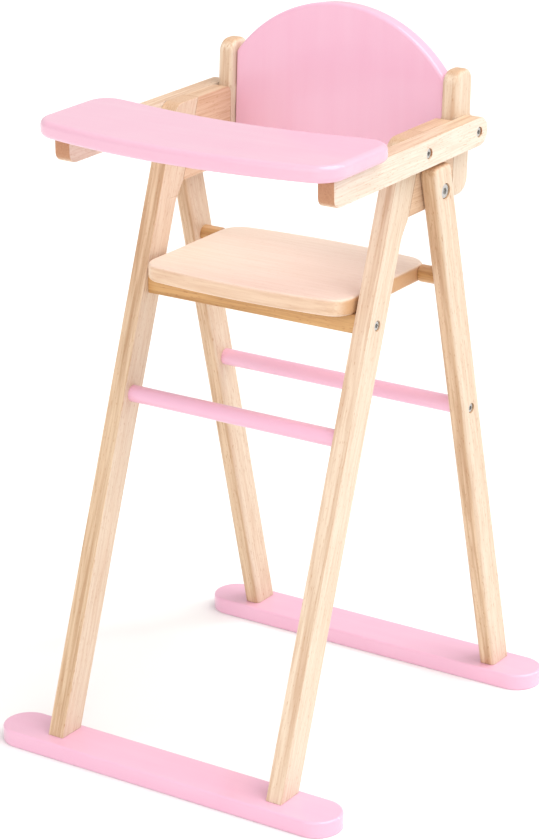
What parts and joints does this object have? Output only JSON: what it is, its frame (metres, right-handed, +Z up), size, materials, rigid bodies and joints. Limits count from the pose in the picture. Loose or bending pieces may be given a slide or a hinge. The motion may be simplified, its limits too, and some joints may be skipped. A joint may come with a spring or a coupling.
{
  "type": "doll high chair",
  "caption": "Folding wooden high chair for a doll: two leg frames on foot runners, tilting seat, arched backrest, arms and a fixed tray.",
  "frame": {"origin": "on the floor, in the middle of the footprint of the two foot runners", "axes": "+Z up, the chair faces -Y, +X towards its left arm as the doll sits"},
  "size_m": [0.3124, 0.3344, 0.55],
  "materials": {
    "natural_wood": "clear satin lacquer on fine, straight grain",
    "pink_paint": "satin pink paint over wood",
    "screw_steel": "plain steel with a hex socket"
  },
  "bodies": {
    "front_frame": {"arm_front_screw_left": "screw_steel", "arm_front_screw_right": "screw_steel", "arm_left": "natural_wood", "arm_rear_screw_left": "screw_steel", "arm_rear_screw_right": "screw_steel", "arm_right": "natural_wood", "back_post_left": "natural_wood", "back_post_right": "natural_wood", "backrest_panel": "pink_paint", "backrest_pin_left_1": "natural_wood", "backrest_pin_left_2": "natural_wood", "backrest_pin_right_1": "natural_wood", "backrest_pin_right_2": "natural_wood", "front_dowel": "pink_paint", "front_leg_left": "natural_wood", "front_leg_right": "natural_wood", "front_runner": "pink_paint", "front_runner_screw_left": "screw_steel", "front_runner_screw_right": "screw_steel", "pivot_bolt_left": "screw_steel", "pivot_bolt_right": "screw_steel", "pivot_insert_left": "screw_steel", "pivot_insert_right": "screw_steel", "seat_rail": "natural_wood", "seat_rail_screw_left": "screw_steel", "seat_rail_screw_right": "screw_steel", "side_board_left": "natural_wood", "side_board_pin_left_1": "natural_wood", "side_board_pin_left_2": "natural_wood", "side_board_pin_left_3": "natural_wood", "side_board_pin_left_4": "natural_wood", "side_board_pin_right_1": "natural_wood", "side_board_pin_right_2": "natural_wood", "side_board_pin_right_3": "natural_wood", "side_board_pin_right_4": "natural_wood", "side_board_right": "natural_wood", "tray": "pink_paint", "tray_screw_front_left": "screw_steel", "tray_screw_front_right": "screw_steel", "tray_screw_rear_left": "screw_steel", "tray_screw_rear_right": "screw_steel"},
    "rear_frame": {"rear_dowel": "pink_paint", "rear_dowel_screw_left": "screw_steel", "rear_dowel_screw_right": "screw_steel", "rear_leg_left": "natural_wood", "rear_leg_right": "natural_wood", "rear_runner": "pink_paint", "rear_runner_screw_left": "screw_steel", "rear_runner_screw_right": "screw_steel"},
    "seat": {"seat_panel": "natural_wood", "seat_pivot_left": "natural_wood", "seat_pivot_right": "natural_wood"}
  },
  "joints": [
    {"name": "fold_hinge", "type": "hinge", "parent": "front_frame", "child": "rear_frame", "pos_m": [0, 0.049, 0.4323], "axis": [-1, 0, 0], "range_deg": [0, 33]},
    {"name": "seat_tilt", "type": "hinge", "parent": "rear_frame", "child": "seat", "pos_m": [0, 0.0663, 0.36], "axis": [-1, 0, 0], "range_deg": [0, 85]}
  ]
}
